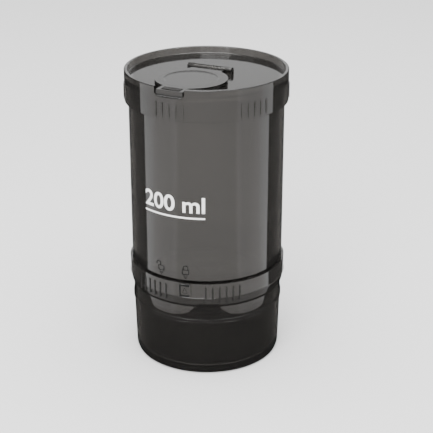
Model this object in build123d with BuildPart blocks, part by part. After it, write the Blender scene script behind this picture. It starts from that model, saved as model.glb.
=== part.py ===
from build123d import *
import os
from math import cos, hypot, radians, sin, sqrt

# Cricket dusting shaker in millimetres: +Z up, origin at the centre of its foot, front towards -Y.

# Overall size
total_height = 154.0

# Powder cup
cup_height = 44.0
cup_inset = 0.5
cup_draft = 0.8
cup_wall = 1.9
cup_floor = 2.0
cup_corner = 2.6
cup_inner_corner = 3.0
foot_height = 1.2
foot_width = 7.2
band_drop = 14.1
band_width = 2.1
band_proud = 0.4
band_slope = 0.3
bead_drop = 2.5
bead_width = 1.3
bead_proud = 0.4
bead_slope = 0.3

# Running and seating clearances
running_gap = 0.25
axial_gap = 0.3
seat_gap = 0.2
plug_gap = 0.3
seal_gap = 0.05

# Locking collar
collar_wall = 1.45
collar_height = 13.4
collar_overlap = 4.6
collar_taper = 0.75
collar_taper_height = 5.4
collar_edge = 0.5
collar_top_gap = 0.5
lock_angle = 10.0
twist_angle = 20.0
lug_count = 4
lug_arc = 17.0
lug_height = 2.4
segment_height = 2.3
stop_arc = 2.5
stop_play = 0.5
front_angle = -90.0

# Grip ribs and pointer
rib_width = 0.8
rib_length = 8.2
rib_proud = 0.4
rib_root = 0.8
rib_slope = 65.0
rib_rise = 3.1
rib_pitch = 5.0
rib_first = 15.0
ribs_per_side = 6
pointer_width = 6.3
pointer_length = 7.0
pointer_proud = 0.5
pointer_drop = 0.4

# Chamber
tube_radius = 39.5
tube_wall = 2.0
tube_edge = 0.4
spigot_wall = 2.2
spigot_depth = 8.0
throat_rise = 4.0
seal_height = 2.0
seal_depth = 1.1
seal_above_end = 4.4
seal_corner = 0.5

# Sieve
sieve_fit = 0.2
frame_flange = 1.4
frame_flange_inset = 0.4
frame_ledge = 2.2
frame_lip = 1.0
frame_rise = 2.0
snap_height = 0.8
snap_proud = 0.25
snap_drop = 1.2
mesh_thickness = 0.6
mesh_fit = 0.1
hole_size = 2.5
hole_pitch = 3.5
ring_height = 1.4
ring_wall = 1.5
spoke_count = 8
spoke_width = 1.4
hub_radius = 3.5
mid_ring_width = 1.6

# Lid
lid_skirt_gap = 0.3
lid_skirt_wall = 1.6
lid_skirt_depth = 10.5
lid_deck = 2.0
lid_rim_height = 3.5
lid_rim_wall = 1.8
lid_edge = 0.8
lid_plug_wall = 1.8
lid_plug_depth = 5.0
lid_seal_drop = 1.5
lid_rib_length = 7.2
lid_rib_rise = 1.4
lid_rib_groups = 6
lid_ribs_per_group = 5

# Dosing flap and hinge
opening_radius = 14.0
flap_overlap = 4.0
flap_margin = 4.6
flap_thickness = 2.0
flap_plug_gap = 0.4
flap_plug_wall = 1.4
flap_plug_depth = 3.2
flap_edge = 0.5
flap_tab_width = 14.0
flap_tab_inset = 0.8
notch_clearance = 1.0
scoop_radius = 1.3
gasket_margin = 0.6
gasket_width = 2.0
gasket_thickness = 0.7
gasket_squeeze = 0.1
hinge_margin = 3.5
barrel_radius = 1.6
barrel_length = 17.4
ear_width = 3.2
pin_radius = 0.9
pin_fit = 0.02
pin_running_gap = 0.06

# Heights that follow from the stack
floor_top = foot_height + cup_floor
collar_bottom = cup_height - collar_overlap
collar_top = collar_bottom + collar_height
tube_bottom = collar_top + collar_top_gap
spigot_bottom = cup_height - spigot_depth
band_bottom = cup_height - band_drop
bead_bottom = cup_height - bead_drop
lug_top = cup_height + lug_height
segment_bottom = lug_top + axial_gap
segment_top = segment_bottom + segment_height
seal_bottom = spigot_bottom + seal_above_end
mesh_bottom = spigot_bottom + frame_rise
mesh_top = mesh_bottom + mesh_thickness
ring_top = mesh_top + ring_height
deck_top = total_height - lid_rim_height
deck_bottom = deck_top - lid_deck
chamber_top = deck_bottom - seat_gap
skirt_bottom = deck_bottom - lid_skirt_depth
flap_bottom = deck_top + seat_gap
hinge_height = flap_bottom + barrel_radius

# Radii that follow from the fits
tube_bore = tube_radius - tube_wall
cup_radius = tube_radius - cup_inset
cup_bore = cup_radius - cup_wall
cup_base_radius = cup_radius - cup_draft
cup_base_bore = cup_base_radius - cup_wall
foot_inner_radius = cup_base_radius - foot_width
collar_bore = cup_radius + running_gap
collar_radius = collar_bore + collar_wall
spigot_radius = cup_bore - plug_gap
spigot_bore = spigot_radius - spigot_wall
lug_radius = collar_bore - running_gap
segment_radius = spigot_radius + running_gap
frame_radius = spigot_bore - sieve_fit
frame_bore = frame_radius - frame_ledge
pocket_radius = frame_radius - frame_lip
mesh_radius = pocket_radius - mesh_fit
mid_ring_radius = (hub_radius + frame_bore) / 2
skirt_bore = tube_radius + lid_skirt_gap
lid_radius = skirt_bore + lid_skirt_wall
lid_plug_radius = tube_bore - plug_gap
lid_plug_bore = lid_plug_radius - lid_plug_wall
rim_bore = lid_radius - lid_rim_wall
flap_radius = opening_radius + flap_overlap
flap_plug_radius = opening_radius - flap_plug_gap
gasket_inner = opening_radius + gasket_margin
opening_offset = rim_bore - flap_margin - flap_radius
flap_tab_reach = lid_radius - flap_tab_inset
hinge_offset = flap_radius - opening_offset + hinge_margin
notch_width = flap_tab_width + 2 * notch_clearance
notch_reach = lid_radius - sqrt(rim_bore**2 - (notch_width / 2) ** 2) + notch_clearance

# Angles of the lugs at rest, counted from +X
pointer_angle = front_angle + lock_angle
lug_angles = [pointer_angle + turn * 360 / lug_count for turn in range(lug_count)]

os.makedirs("parts", exist_ok=True)


def upright(angle):
    """Plane through the axis: local x is the radius at this angle, local y the height."""
    turn = radians(angle)
    return Plane((0, 0, 0), x_dir=(cos(turn), sin(turn), 0), z_dir=(sin(turn), -cos(turn), 0))


def rings(piece, radius, height):
    """Circular edges of a piece at one radius and height."""
    near = 0.01
    circles = piece.edges().filter_by(GeomType.CIRCLE)
    return circles.filter_by(
        lambda edge: abs(edge.radius - radius) < near and abs(edge.arc_center.Z - height) < near
    )


# Powder cup: tapered wall, recessed foot, bright band and the bead that holds the collar
with BuildPart() as powder_cup:
    with BuildSketch(Plane.XZ):
        with BuildLine():
            Polyline(
                (0, foot_height),
                (foot_inner_radius, foot_height),
                (foot_inner_radius + foot_height, 0),
                (cup_base_radius, 0),
                (cup_radius, band_bottom),
                (cup_radius + band_proud, band_bottom + band_slope),
                (cup_radius + band_proud, band_bottom + band_width - band_slope),
                (cup_radius, band_bottom + band_width),
                (cup_radius, bead_bottom),
                (cup_radius + bead_proud, bead_bottom + bead_slope),
                (cup_radius + bead_proud, bead_bottom + bead_width - bead_slope),
                (cup_radius, bead_bottom + bead_width),
                (cup_radius, cup_height),
                (cup_bore, cup_height),
                (cup_bore, spigot_bottom - frame_flange),
                (cup_base_bore, floor_top),
                (0, floor_top),
                close=True,
            )
        make_face()
    revolve(axis=Axis.Z)
    fillet(rings(powder_cup, cup_base_radius, 0), cup_corner)
    fillet(rings(powder_cup, cup_base_bore, floor_top), cup_inner_corner)

powder_cup.part.label = "powder_cup"
export_step(powder_cup.part, "parts/powder_cup.step")


# Grip rib: an upright bar with sloped ends, its root sunk into the wall that carries it
def grip_rib(wall_radius, length):
    with BuildPart() as rib:
        with BuildSketch(Plane.XZ):
            with Locations((wall_radius - rib_root, 0)):
                Trapezoid(
                    length,
                    rib_root + rib_proud,
                    rib_slope,
                    rotation=-90,
                    align=(Align.CENTER, Align.MIN),
                )
        extrude(amount=rib_width / 2, both=True)
    return rib.part


# Locking collar: turns on the cup's bead and holds the chamber's lugs under its segments
with BuildPart() as locking_collar:
    with BuildSketch(Plane.XZ):
        with BuildLine():
            Polyline(
                (collar_bore, collar_bottom),
                (collar_bore, bead_bottom - axial_gap),
                (collar_bore + bead_proud, bead_bottom - axial_gap),
                (collar_bore + bead_proud, bead_bottom + bead_width + axial_gap),
                (collar_bore, bead_bottom + bead_width + axial_gap),
                (collar_bore, collar_top),
                (collar_radius, collar_top),
                (collar_radius, collar_bottom + collar_taper_height),
                (collar_radius - collar_taper, collar_bottom),
                close=True,
            )
        make_face()
    revolve(axis=Axis.Z)
    chamfer(rings(locking_collar, collar_radius, collar_top), collar_edge)
    for angle in lug_angles:
        with BuildSketch(upright(angle - lug_arc / 2)):
            with Locations((segment_radius, segment_bottom)):
                Rectangle(
                    collar_bore + running_gap - segment_radius,
                    segment_height,
                    align=(Align.MIN, Align.MIN),
                )
        revolve(axis=Axis.Z, revolution_arc=lug_arc)
    rib_middle = collar_bottom + rib_rise + rib_length / 2
    rib_span = rib_pitch * (ribs_per_side - 1)
    for centre in (pointer_angle, pointer_angle + 180):
        for start in (centre + rib_first, centre - rib_first - rib_span):
            with Locations((0, 0, rib_middle)):
                with PolarLocations(0, ribs_per_side, start, rib_span, endpoint=True):
                    add(grip_rib(collar_radius, rib_length))
    with Locations((0, 0, collar_top - pointer_drop)):
        with PolarLocations(collar_radius - rib_root, 1, pointer_angle):
            Box(
                rib_root + pointer_proud,
                pointer_width,
                pointer_length,
                align=(Align.MIN, Align.CENTER, Align.MAX),
            )

locking_collar.part.label = "locking_collar"
export_step(locking_collar.part, "parts/locking_collar.step")

# Chamber: clear tube, sloping throat and a spigot with seal groove, lugs and collar stops
with BuildPart() as chamber:
    with BuildSketch(Plane.XZ):
        with BuildLine():
            Polyline(
                (spigot_bore, spigot_bottom),
                (spigot_bore, ring_top - snap_drop - snap_height),
                (spigot_bore + snap_proud, ring_top - snap_drop - snap_height),
                (spigot_bore + snap_proud, ring_top - snap_drop + snap_height),
                (spigot_bore, ring_top - snap_drop + snap_height),
                (spigot_bore, tube_bottom),
                (tube_bore, tube_bottom + throat_rise),
                (tube_bore, chamber_top),
                (tube_radius, chamber_top),
                (tube_radius, tube_bottom),
                (spigot_radius, tube_bottom),
                (spigot_radius, seal_bottom + seal_height),
                (spigot_radius - seal_depth, seal_bottom + seal_height),
                (spigot_radius - seal_depth, seal_bottom),
                (spigot_radius, seal_bottom),
                (spigot_radius, spigot_bottom),
                close=True,
            )
        make_face()
    revolve(axis=Axis.Z)
    chamfer(rings(chamber, tube_radius, tube_bottom), tube_edge)
    chamfer(rings(chamber, tube_radius, chamber_top), tube_edge)
    for angle in lug_angles:
        with BuildSketch(upright(angle - lug_arc / 2)):
            with Locations((spigot_radius - seal_depth, cup_height)):
                Rectangle(
                    lug_radius - spigot_radius + seal_depth, lug_height, align=(Align.MIN, Align.MIN)
                )
        revolve(axis=Axis.Z, revolution_arc=lug_arc)
        locked_stop = angle + lug_arc / 2 + stop_play
        open_stop = angle - twist_angle - lug_arc / 2 - stop_play - stop_arc
        for stop in (locked_stop, open_stop):
            with BuildSketch(upright(stop)):
                with Locations((spigot_radius - seal_depth, lug_top)):
                    Rectangle(
                        lug_radius - spigot_radius + seal_depth,
                        segment_top - lug_top,
                        align=(Align.MIN, Align.MIN),
                    )
            revolve(axis=Axis.Z, revolution_arc=stop_arc)

chamber.part.label = "chamber"
export_step(chamber.part, "parts/chamber.step")

# Cup seal: ring in the spigot's groove that closes the gap to the cup
with BuildPart() as cup_seal:
    with BuildSketch(Plane.XZ):
        with Locations((spigot_radius - seal_depth + seal_gap, seal_bottom + seal_gap)):
            Rectangle(
                cup_bore - spigot_radius + seal_depth - 2 * seal_gap,
                seal_height - 2 * seal_gap,
                align=(Align.MIN, Align.MIN),
            )
    revolve(axis=Axis.Z)
    chamfer(cup_seal.edges().filter_by(GeomType.CIRCLE).group_by(SortBy.RADIUS)[-1], seal_corner)

cup_seal.part.label = "cup_seal"
export_step(cup_seal.part, "parts/cup_seal.step")

# Sieve frame: snap-in ring with a ledge for the mesh, carried on spokes, a middle ring and a hub
with BuildPart() as sieve_frame:
    with BuildSketch(Plane.XZ):
        with BuildLine():
            Polyline(
                (frame_bore, spigot_bottom - frame_flange),
                (spigot_radius - frame_flange_inset, spigot_bottom - frame_flange),
                (spigot_radius - frame_flange_inset, spigot_bottom),
                (frame_radius, spigot_bottom),
                (frame_radius, ring_top - snap_drop - snap_height / 2),
                (frame_radius + snap_proud, ring_top - snap_drop),
                (frame_radius, ring_top - snap_drop + snap_height / 2),
                (frame_radius, ring_top),
                (pocket_radius, ring_top),
                (pocket_radius, mesh_bottom),
                (frame_bore, mesh_bottom),
                close=True,
            )
        make_face()
    revolve(axis=Axis.Z)
    spoke_reach = frame_bore + frame_ledge / 2
    with BuildSketch(Plane.XY.offset(spigot_bottom)):
        Circle(mid_ring_radius + mid_ring_width / 2)
        Circle(mid_ring_radius - mid_ring_width / 2, mode=Mode.SUBTRACT)
        Circle(hub_radius)
        with PolarLocations(spoke_reach / 2, spoke_count):
            Rectangle(spoke_reach, spoke_width)
    extrude(amount=frame_rise)

sieve_frame.part.label = "sieve_frame"
export_step(sieve_frame.part, "parts/sieve_frame.step")

# Sieve mesh: a disc with square gaps, none of which meets the rim that the frame grips
mesh_reach = int(mesh_radius / hole_pitch)
mesh_steps = range(-mesh_reach, mesh_reach + 1)
mesh_limit = frame_bore - hole_size / 2
mesh_centres = [
    (column * hole_pitch, row * hole_pitch)
    for column in mesh_steps
    for row in mesh_steps
    if hypot(column * hole_pitch, row * hole_pitch) < mesh_limit
]
with BuildPart() as sieve_mesh:
    with BuildSketch(Plane.XY.offset(mesh_bottom)):
        Circle(mesh_radius)
        with Locations(*mesh_centres):
            Rectangle(hole_size, hole_size, mode=Mode.SUBTRACT)
    extrude(amount=mesh_thickness)

sieve_mesh.part.label = "sieve_mesh"
export_step(sieve_mesh.part, "parts/sieve_mesh.step")

# Sieve ring: clips into the frame's pocket and holds the mesh down
with BuildPart() as sieve_ring:
    with BuildSketch(Plane.XY.offset(mesh_top)):
        Circle(mesh_radius)
        Circle(mesh_radius - ring_wall, mode=Mode.SUBTRACT)
    extrude(amount=ring_height)
    chamfer(rings(sieve_ring, mesh_radius - ring_wall, ring_top), ring_wall / 2)

sieve_ring.part.label = "sieve_ring"
export_step(sieve_ring.part, "parts/sieve_ring.step")

# Lid: skirt over the tube, plug ring inside it, sunk deck with the opening and the hinge ears
hinge_plane = Plane(origin=(0, hinge_offset, hinge_height), x_dir=(0, 1, 0), z_dir=(1, 0, 0))
ear_inner = (barrel_length + 2 * axial_gap) / 2
with BuildPart() as lid:
    with BuildSketch(Plane.XZ):
        with BuildLine():
            Polyline(
                (0, deck_bottom),
                (lid_plug_bore, deck_bottom),
                (lid_plug_bore, deck_bottom - lid_plug_depth),
                (lid_plug_radius, deck_bottom - lid_plug_depth),
                (lid_plug_radius, deck_bottom - lid_seal_drop - seal_height),
                (lid_plug_radius - seal_depth, deck_bottom - lid_seal_drop - seal_height),
                (lid_plug_radius - seal_depth, deck_bottom - lid_seal_drop),
                (lid_plug_radius, deck_bottom - lid_seal_drop),
                (lid_plug_radius, deck_bottom),
                (skirt_bore, deck_bottom),
                (skirt_bore, skirt_bottom),
                (lid_radius, skirt_bottom),
                (lid_radius, total_height),
                (rim_bore, total_height),
                (rim_bore, deck_top),
                (0, deck_top),
                close=True,
            )
        make_face()
    revolve(axis=Axis.Z)
    fillet(rings(lid, lid_radius, total_height), lid_edge)
    with Locations((0, -opening_offset, deck_top)):
        Hole(opening_radius, depth=lid_deck)
    with Locations((0, -lid_radius, deck_top)):
        Box(
            notch_width,
            2 * notch_reach,
            lid_rim_height,
            align=(Align.CENTER, Align.CENTER, Align.MIN),
            mode=Mode.SUBTRACT,
        )
        Cylinder(scoop_radius, flap_tab_width, rotation=(0, 90, 0), mode=Mode.SUBTRACT)
    for side in (-1, 1):
        with BuildSketch(hinge_plane.offset(side * (ear_inner + ear_width / 2))):
            Circle(barrel_radius)
            Rectangle(2 * barrel_radius, hinge_height - deck_top, align=(Align.CENTER, Align.MAX))
            Circle(pin_radius + pin_fit, mode=Mode.SUBTRACT)
        extrude(amount=ear_width / 2, both=True)
    lid_rib_middle = skirt_bottom + lid_rib_rise + lid_rib_length / 2
    lid_rib_span = rib_pitch * (lid_ribs_per_group - 1)
    for group in range(lid_rib_groups):
        start = front_angle + group * 360 / lid_rib_groups - lid_rib_span / 2
        with Locations((0, 0, lid_rib_middle)):
            with PolarLocations(0, lid_ribs_per_group, start, lid_rib_span, endpoint=True):
                add(grip_rib(lid_radius, lid_rib_length))

lid.part.label = "lid"
export_step(lid.part, "parts/lid.step")

# Lid seal: ring in the plug's groove that grips the inside of the tube
with BuildPart() as lid_seal:
    with BuildSketch(Plane.XZ):
        with Locations(
            (lid_plug_radius - seal_depth + seal_gap, deck_bottom - lid_seal_drop - seal_gap)
        ):
            Rectangle(
                seal_depth - seal_gap + plug_gap - seat_gap,
                seal_height - 2 * seal_gap,
                align=(Align.MIN, Align.MAX),
            )
    revolve(axis=Axis.Z)
    chamfer(lid_seal.edges().filter_by(GeomType.CIRCLE).group_by(SortBy.RADIUS)[-1], seal_corner)

lid_seal.part.label = "lid_seal"
export_step(lid_seal.part, "parts/lid_seal.step")

# Hinge pin: steel pin fixed in the ears, with the flap's barrel free to turn on it
with BuildPart() as hinge_pin:
    with BuildSketch(hinge_plane):
        Circle(pin_radius)
    extrude(amount=ear_inner + ear_width, both=True)

hinge_pin.part.label = "hinge_pin"
export_step(hinge_pin.part, "parts/hinge_pin.step")

# Dosing flap: round plate with arm, barrel and lift tab, and a plug ring that enters the opening
with BuildPart() as dosing_flap:
    with BuildSketch(Plane.XY.offset(flap_bottom)):
        with Locations((0, -opening_offset)):
            Circle(flap_radius)
        with Locations((0, hinge_offset)):
            Rectangle(barrel_length, opening_offset + hinge_offset, align=(Align.CENTER, Align.MAX))
        with Locations((0, -opening_offset)):
            Rectangle(
                flap_tab_width, flap_tab_reach - opening_offset, align=(Align.CENTER, Align.MAX)
            )
    extrude(amount=flap_thickness)
    fillet(dosing_flap.faces().sort_by(Axis.Z)[-1].edges(), flap_edge)
    with BuildSketch(Plane.XY.offset(flap_bottom)):
        with Locations((0, -opening_offset)):
            Circle(flap_plug_radius)
            Circle(flap_plug_radius - flap_plug_wall, mode=Mode.SUBTRACT)
    extrude(amount=-flap_plug_depth)
    with BuildSketch(Plane.XY.offset(flap_bottom)):
        with Locations((0, -opening_offset)):
            Circle(gasket_inner + gasket_width)
            Circle(gasket_inner, mode=Mode.SUBTRACT)
    extrude(amount=gasket_thickness - gasket_squeeze, mode=Mode.SUBTRACT)
    with BuildSketch(hinge_plane):
        Circle(barrel_radius)
    extrude(amount=barrel_length / 2, both=True)
    with BuildSketch(hinge_plane):
        Circle(pin_radius + pin_running_gap)
    extrude(amount=barrel_length, both=True, mode=Mode.SUBTRACT)

dosing_flap.part.label = "dosing_flap"
export_step(dosing_flap.part, "parts/dosing_flap.step")

# Flap seal: flat ring set into the flap's underside, round the opening
with BuildPart() as flap_seal:
    with BuildSketch(Plane.XY.offset(flap_bottom - gasket_squeeze)):
        with Locations((0, -opening_offset)):
            Circle(gasket_inner + gasket_width - seal_gap)
            Circle(gasket_inner + seal_gap, mode=Mode.SUBTRACT)
    extrude(amount=gasket_thickness)

flap_seal.part.label = "flap_seal"
export_step(flap_seal.part, "parts/flap_seal.step")
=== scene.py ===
from math import atan2, cos, degrees, pi, radians, sin, sqrt

import bpy
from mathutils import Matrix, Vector


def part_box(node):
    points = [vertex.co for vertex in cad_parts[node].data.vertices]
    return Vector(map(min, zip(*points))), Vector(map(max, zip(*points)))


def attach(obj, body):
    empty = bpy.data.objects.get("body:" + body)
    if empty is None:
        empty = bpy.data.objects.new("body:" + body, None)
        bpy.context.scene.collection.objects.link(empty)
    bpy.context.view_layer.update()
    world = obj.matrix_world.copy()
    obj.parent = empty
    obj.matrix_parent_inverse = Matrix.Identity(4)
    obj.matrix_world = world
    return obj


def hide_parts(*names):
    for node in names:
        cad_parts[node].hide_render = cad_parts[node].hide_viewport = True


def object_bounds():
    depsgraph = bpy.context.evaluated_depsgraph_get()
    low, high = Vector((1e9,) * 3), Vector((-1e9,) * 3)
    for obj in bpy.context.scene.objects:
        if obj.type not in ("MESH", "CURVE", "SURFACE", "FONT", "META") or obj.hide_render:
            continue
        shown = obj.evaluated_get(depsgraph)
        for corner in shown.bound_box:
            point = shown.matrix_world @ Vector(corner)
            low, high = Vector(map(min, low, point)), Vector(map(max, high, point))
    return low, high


# Cricket dusting shaker, in metres: +Z up, front towards -Y. Angles are in degrees.
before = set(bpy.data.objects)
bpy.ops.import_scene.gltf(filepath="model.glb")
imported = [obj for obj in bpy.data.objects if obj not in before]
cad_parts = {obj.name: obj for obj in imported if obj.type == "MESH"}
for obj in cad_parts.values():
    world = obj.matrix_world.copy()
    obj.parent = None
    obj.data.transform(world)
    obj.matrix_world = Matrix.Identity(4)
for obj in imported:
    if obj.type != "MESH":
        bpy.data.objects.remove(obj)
cad_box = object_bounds()

# Sizes that the solids give
MM = 0.001
TOTAL_HEIGHT = cad_box[1].z
CUP_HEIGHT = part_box("powder_cup")[1].z
COLLAR_BOTTOM, COLLAR_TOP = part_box("locking_collar")[0].z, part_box("locking_collar")[1].z
SPIGOT_BOTTOM, TUBE_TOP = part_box("chamber")[0].z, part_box("chamber")[1].z
TUBE_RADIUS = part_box("chamber")[1].x
SKIRT_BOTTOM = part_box("lid")[0].z

# Sizes of the powder cup
CUP_RADIUS = TUBE_RADIUS - 0.5 * MM
CUP_BASE_RADIUS = CUP_RADIUS - 0.8 * MM
CUP_WALL = 1.9 * MM
CUP_BORE = CUP_RADIUS - CUP_WALL
CUP_BORE_BOTTOM = SPIGOT_BOTTOM - 1.4 * MM
CUP_BASE_BORE = CUP_BASE_RADIUS - CUP_WALL
FOOT_HEIGHT = 1.2 * MM
FOOT_INNER_RADIUS = CUP_BASE_RADIUS - 7.2 * MM
FOOT_ROUND = 2.2 * MM
FOOT_ROUND_MIDDLE = 0.6 * MM
FOOT_ROUND_TOP = 2.4 * MM
FOOT_ROUND_DRAFT = 0.05 * MM
FLOOR_TOP = FOOT_HEIGHT + 2.0 * MM
FLOOR_ROUND = 3.0 * MM
FLOOR_ROUND_MIDDLE = 0.9 * MM
BAND_BOTTOM = CUP_HEIGHT - 14.1 * MM
BAND_TOP = BAND_BOTTOM + 2.1 * MM
BAND_PROUD = 0.4 * MM
BAND_LIP = 0.5 * MM
BAND_SLOPE = 0.05 * MM
GROOVE_PROUD = 0.4 * BAND_PROUD
BEAD_BOTTOM = CUP_HEIGHT - 2.5 * MM
BEAD_TOP = BEAD_BOTTOM + 1.3 * MM
BEAD_PROUD = 0.4 * MM
BEAD_SLOPE = 0.3 * MM
RUNNING_GAP = 0.25 * MM
AXIAL_GAP = 0.3 * MM

# Sizes of the locking collar and its bayonet
COLLAR_BORE = CUP_RADIUS + RUNNING_GAP
COLLAR_RADIUS = COLLAR_BORE + 1.45 * MM
COLLAR_TAPER = 0.75 * MM
COLLAR_BREAK = COLLAR_BOTTOM + 5.4 * MM
COLLAR_EDGE = 0.6 * MM
COLLAR_EDGE_HEIGHT = 1.45 * MM
LINE_PROUD = 0.16 * MM
LINE_WIDTH = 0.1 * MM
LINE_FADE = 0.32 * MM
LOCK_ANGLE = 10.0
TWIST_ANGLE = 20.0
LUG_COUNT = 4
LUG_ARC = 17.0
LUG_TOP = CUP_HEIGHT + 2.4 * MM
SEGMENT_BOTTOM = LUG_TOP + AXIAL_GAP
SEGMENT_TOP = SEGMENT_BOTTOM + 2.3 * MM
STOP_ARC = 2.5
STOP_PLAY = 0.5

# Sizes of the chamber
TUBE_BOTTOM = COLLAR_TOP + 0.5 * MM
TUBE_BORE = TUBE_RADIUS - 2.0 * MM
TUBE_EDGE = 0.5 * MM
TUBE_EDGE_HEIGHT = 0.6 * MM
SPIGOT_RADIUS = CUP_BORE - 0.3 * MM
SPIGOT_BORE = SPIGOT_RADIUS - 2.2 * MM
THROAT_TOP = TUBE_BOTTOM + 4.0 * MM
SEAL_HEIGHT = 2.0 * MM
SEAL_DEPTH = 1.1 * MM
SEAL_BOTTOM = SPIGOT_BOTTOM + 4.4 * MM
SEAL_TOP = SEAL_BOTTOM + SEAL_HEIGHT

# Sizes of the lid
DECK_TOP = TOTAL_HEIGHT - 3.5 * MM
DECK_BOTTOM = DECK_TOP - 2.0 * MM
SKIRT_BORE = TUBE_RADIUS + 0.3 * MM
LID_RADIUS = SKIRT_BORE + 1.6 * MM
RIM_BORE = LID_RADIUS - 1.8 * MM
PLUG_RADIUS = TUBE_BORE - 0.3 * MM
PLUG_BORE = PLUG_RADIUS - 1.8 * MM
PLUG_BOTTOM = DECK_BOTTOM - 5.0 * MM
LID_SEAL_TOP = DECK_BOTTOM - 1.5 * MM
LID_SEAL_BOTTOM = LID_SEAL_TOP - SEAL_HEIGHT
LID_SEAL_SQUEEZE = 0.2 * MM
OPENING_RADIUS = 14.0 * MM
OPENING_EDGE = 0.3 * MM
NOTCH_GAP = 1.0 * MM
SCOOP_RADIUS = 1.3 * MM

# Sizes of the dosing flap and its hinge
FLAP_RADIUS = OPENING_RADIUS + 4.0 * MM
FLAP_CENTRE = -(RIM_BORE - 4.6 * MM - FLAP_RADIUS)
FLAP_BOTTOM = DECK_TOP + 0.2 * MM
FLAP_TOP = FLAP_BOTTOM + 2.0 * MM
FLAP_PLUG_RADIUS = OPENING_RADIUS - 0.4 * MM
FLAP_PLUG_WALL = 1.4 * MM
FLAP_PLUG_DEPTH = 3.2 * MM
TAB_WIDTH = 14.0 * MM
TAB_REACH = LID_RADIUS - 0.8 * MM
TAB_RIDGES = 3
FIRST_RIDGE = 1.6 * MM
RIDGE_PITCH = 1.5 * MM
RIDGE_INSET = 2.0 * MM
RIDGE_SIZE = 0.35 * MM
DISH_RADIUS = 13.5 * MM
DISH_DEPTH = 0.45 * MM
DISH_SLOPE = 0.9 * MM
HINGE_Y = FLAP_RADIUS + FLAP_CENTRE + 3.5 * MM
BARREL_RADIUS = 1.6 * MM
BARREL_LENGTH = 17.4 * MM
HINGE_Z = FLAP_BOTTOM + BARREL_RADIUS
EAR_WIDTH = 3.2 * MM
EAR_INNER = BARREL_LENGTH / 2 + AXIAL_GAP
PIN_RADIUS = 0.9 * MM
PIN_PLAY = 0.02 * MM

# Sizes of the grip ribs and of the collar's tab
RIB_WIDTH = 0.8 * MM
RIB_PROUD = 0.4 * MM
RIB_ROOT = 0.7 * MM
RIB_EDGE = 0.28 * MM
RIB_PITCH = 5.0
FIRST_RIB = 15.0
RIBS_PER_SIDE = 6
RIB_LENGTH = 8.2 * MM
RIB_BOTTOM = COLLAR_BOTTOM + 3.1 * MM
LID_RIB_LENGTH = 7.2 * MM
LID_RIB_BOTTOM = SKIRT_BOTTOM + 1.4 * MM
LID_RIB_GROUPS = 6
LID_RIBS_PER_GROUP = 5
POINTER_WIDTH = 6.3 * MM
POINTER_TOP = COLLAR_TOP - 0.4 * MM
POINTER_BOTTOM = POINTER_TOP - 7.0 * MM
POINTER_PROUD = 0.5 * MM

# Fineness of round shapes, tolerances, and how far joined shells and tools reach past a face
ROUND_STEPS = 180
FLAP_STEPS = 128
OPENING_STEPS = 96
ROD_STEPS = 48
SECTOR_STEP = 2.0
SAME_PLACE = 0.001 * MM
SAME_SIZE = 1e-9
SUNK = 0.05 * MM
OVERCUT = 2.0 * MM


# Modelling helpers

def deselect():
    if bpy.context.object and bpy.context.object.mode != "OBJECT":
        bpy.ops.object.mode_set(mode="OBJECT")
    bpy.ops.object.select_all(action="DESELECT")


def pick(piece, *others):
    """Selects only these pieces and makes the first one active."""
    deselect()
    for one in (piece, *others):
        one.select_set(True)
    bpy.context.view_layer.objects.active = piece


def apply_place(piece):
    """Puts a piece's place, turn and scale into its mesh."""
    pick(piece)
    bpy.ops.object.transform_apply(location=True, rotation=True, scale=True)


def settle(name):
    """Names the piece in hand and puts its place into its mesh."""
    piece = bpy.context.object
    rename(piece, name)
    apply_place(piece)
    return piece


def rename(piece, name):
    piece.name = piece.data.name = name


def turn(piece, angle):
    """Turns a piece about the axis."""
    piece.rotation_euler = (0, 0, radians(angle))
    apply_place(piece)


def set_out(piece, radius, angle):
    """Moves a piece from the axis to a radius at the front, then turns it to its angle."""
    piece.location.y = -radius
    apply_place(piece)
    turn(piece, angle)


def add_modifier(piece, kind):
    """Gives a piece a modifier and picks the piece, so that it can be applied."""
    pick(piece)
    return piece.modifiers.new(kind.lower(), kind)


def apply_modifier(modifier):
    bpy.ops.object.modifier_apply(modifier=modifier.name)


def edit_all():
    """Opens the mesh of the piece in hand with everything selected."""
    bpy.ops.object.mode_set(mode="EDIT")
    bpy.ops.mesh.select_all(action="SELECT")


def end_edit(weld):
    """Ends the edit of a mesh: welds it where its ends meet and turns its faces outwards."""
    bpy.ops.mesh.select_all(action="SELECT")
    if weld:
        bpy.ops.mesh.remove_doubles(threshold=SAME_PLACE)
    bpy.ops.mesh.normals_make_consistent(inside=False)
    bpy.ops.object.mode_set(mode="OBJECT")


def pull_rings(outline):
    """Extrudes what is selected from ring to ring; outline gives each ring's radius and height."""
    for (radius, height), (next_radius, next_height) in zip(outline, outline[1:]):
        bpy.ops.mesh.extrude_region_move(TRANSFORM_OT_translate={"value": (0, 0, next_height - height)})
        growth = next_radius / radius
        if abs(growth - 1) > SAME_SIZE:
            bpy.ops.transform.resize(value=(growth, growth, 1), center_override=(0, 0, next_height))


def turned_ring(name, outline, steps=ROUND_STEPS):
    """Ring round the axis with a closed section."""
    deselect()
    radius, height = outline[0]
    bpy.ops.mesh.primitive_circle_add(vertices=steps, radius=radius, location=(0, 0, height))
    piece = settle(name)
    edit_all()
    pull_rings(outline + outline[:1])
    end_edit(weld=True)
    return piece


def disc(name, radius, height, steps):
    """Flat disc across the axis."""
    deselect()
    bpy.ops.mesh.primitive_circle_add(
        vertices=steps, radius=radius, location=(0, 0, height), fill_type="NGON"
    )
    return settle(name)


def turned_solid(name, outline, steps=ROUND_STEPS):
    """Round solid that starts and ends in a flat disc across the axis."""
    piece = disc(name, *outline[0], steps)
    edit_all()
    pull_rings(outline)
    end_edit(weld=False)
    return piece


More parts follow.
